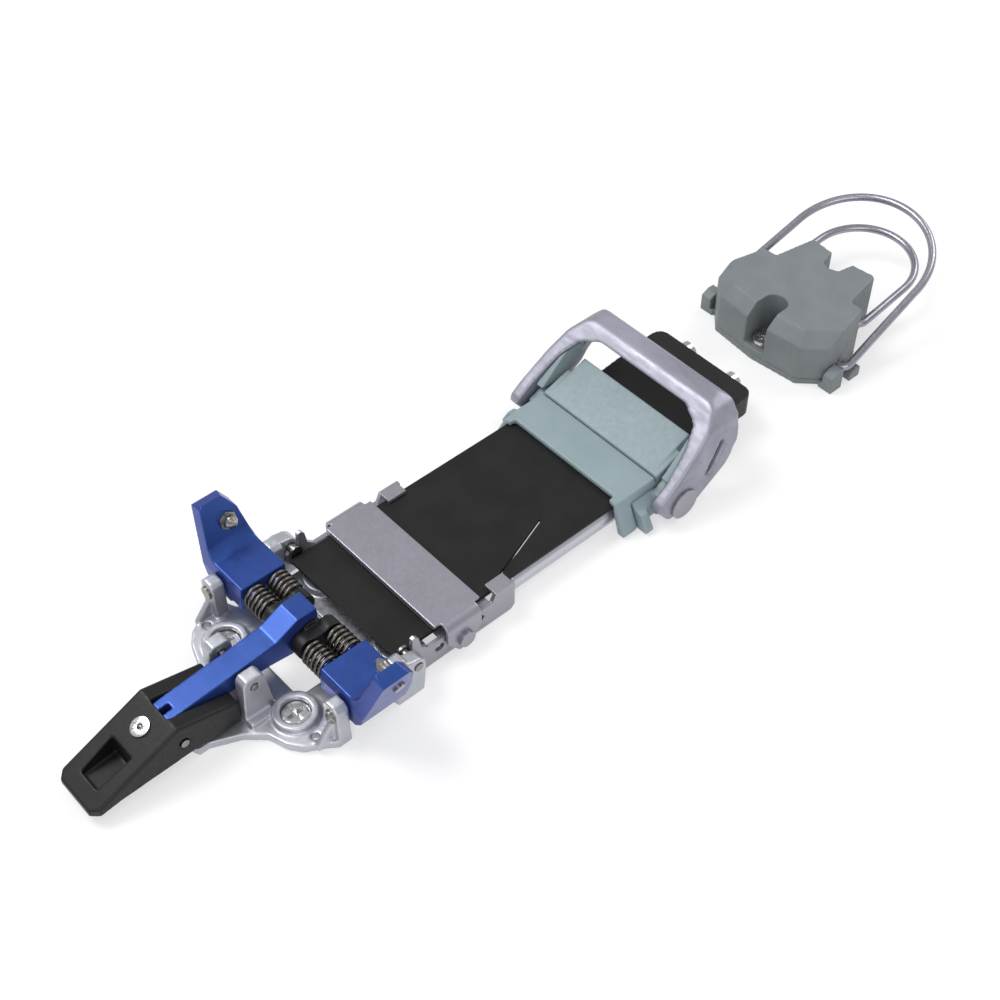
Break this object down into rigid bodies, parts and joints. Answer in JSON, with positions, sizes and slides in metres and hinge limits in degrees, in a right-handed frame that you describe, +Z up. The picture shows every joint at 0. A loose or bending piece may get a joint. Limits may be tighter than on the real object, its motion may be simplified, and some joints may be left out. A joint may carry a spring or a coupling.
{
  "type": "touring binding",
  "caption": "Touring ski binding: toe piece with sprung pin wings and lever, flex plate hooked to it with a second-heel claw and bail, and a separate heel post with riser wires.",
  "frame": {"origin": "centre of the four toe screws on the ski's top face, under the line between the two boot pins", "axes": "+X across the ski, +Y along the ski towards the heel, +Z up off the ski"},
  "size_m": [0.0966, 0.3777, 0.0458],
  "materials": {
    "cast_alloy": "satin bead-blasted casting",
    "blue_anodised": "satin anodised",
    "black_plastic": "moulded, fine texture",
    "black_plate": "satin sheet",
    "spring_steel": "oiled spring wire",
    "zinc_screw": "bright zinc",
    "pin_steel": "hardened, turned",
    "bracket_steel": "satin pressed sheet",
    "tube_alloy": "drawn tube",
    "claw_plastic": "moulded, satin",
    "bail_alloy": "brushed casting",
    "heel_plastic": "moulded, matte",
    "wire_steel": "drawn wire"
  },
  "bodies": {
    "base": {"toe_base": "cast_alloy", "toe_screws": "zinc_screw", "lever_axle": "pin_steel", "wing_axle_left": "pin_steel", "wing_axle_right": "pin_steel", "hook_pins": "pin_steel", "heel_block": "heel_plastic", "heel_plate": "heel_plastic", "heel_screws": "zinc_screw", "post_screw": "zinc_screw"},
    "lever": {"lever": "black_plastic", "lever_arm": "blue_anodised", "lever_rivet": "zinc_screw", "lever_cross_pin": "pin_steel"},
    "guide": {"spring_guide": "black_plastic"},
    "wing_left": {"wing_left": "blue_anodised", "toe_pin_left": "pin_steel", "front_spring_left": "spring_steel", "rear_spring_left": "spring_steel"},
    "wing_right": {"wing_right": "blue_anodised", "toe_pin_right": "pin_steel", "front_spring_right": "spring_steel", "rear_spring_right": "spring_steel"},
    "flex_frame": {"bracket": "bracket_steel", "strap": "bracket_steel", "strap_rivets": "bracket_steel", "flex_plate": "black_plate", "cartridge_tube_left": "tube_alloy", "cartridge_tube_right": "tube_alloy", "cartridge_rod_left": "tube_alloy", "cartridge_rod_right": "tube_alloy", "cartridge_spring_left": "spring_steel", "cartridge_spring_right": "spring_steel", "claw_cover": "claw_plastic", "claw_carrier": "claw_plastic", "bail_pins": "bracket_steel", "rear_end": "black_plastic", "end_screws": "zinc_screw"},
    "bail": {"bail": "bail_alloy", "bail_cheek_left": "claw_plastic", "bail_cheek_right": "claw_plastic"},
    "pedal": {"pedal": "claw_plastic"},
    "high_wire": {"high_riser_wire": "wire_steel"},
    "low_wire": {"low_riser_wire": "wire_steel"}
  },
  "joints": [
    {"name": "lever_hinge", "type": "hinge", "parent": "base", "child": "lever", "pos_m": [0, -0.028, 0.0172], "axis": [-1, 0, 0], "range_deg": [0, 20]},
    {"name": "guide_hinge", "type": "hinge", "parent": "lever", "child": "guide", "pos_m": [0, -0.0021, 0.0158], "axis": [1, 0, 0], "range_deg": [0, 20]},
    {"name": "wing_left_hinge", "type": "hinge", "parent": "base", "child": "wing_left", "pos_m": [-0.032, 0, 0.013], "axis": [0, 1, 0], "range_deg": [0, 20], "deforming": ["front_spring_left", "rear_spring_left"]},
    {"name": "wing_right_hinge", "type": "hinge", "parent": "base", "child": "wing_right", "pos_m": [0.032, 0, 0.013], "axis": [0, -1, 0], "range_deg": [0, 20], "deforming": ["front_spring_right", "rear_spring_right"]},
    {"name": "flex_hinge", "type": "hinge", "parent": "base", "child": "flex_frame", "pos_m": [0, 0.0155, 0.0125], "axis": [1, 0, 0], "range_deg": [0, 50]},
    {"name": "bail_hinge", "type": "hinge", "parent": "flex_frame", "child": "bail", "pos_m": [0, 0.1299, 0.0062], "axis": [1, 0, 0], "range_deg": [0, 22]},
    {"name": "pedal_hinge", "type": "hinge", "parent": "flex_frame", "child": "pedal", "pos_m": [0, 0.1299, 0.0062], "axis": [-1, 0, 0], "range_deg": [0, 8]},
    {"name": "high_wire_hinge", "type": "hinge", "parent": "base", "child": "high_wire", "pos_m": [0, 0.2223, 0.0062], "axis": [1, 0, 0], "range_deg": [0, 85]},
    {"name": "low_wire_hinge", "type": "hinge", "parent": "base", "child": "low_wire", "pos_m": [0, 0.242, 0.0095], "axis": [1, 0, 0], "range_deg": [0, 80]}
  ],
  "couplings": [
    {"joint": "wing_left_hinge", "follows": "lever_hinge", "ratio": 1},
    {"joint": "wing_right_hinge", "follows": "lever_hinge", "ratio": 1},
    {"joint": "guide_hinge", "follows": "lever_hinge", "ratio": 1},
    {"joint": "pedal_hinge", "follows": "bail_hinge", "ratio": 0.36364}
  ]
}
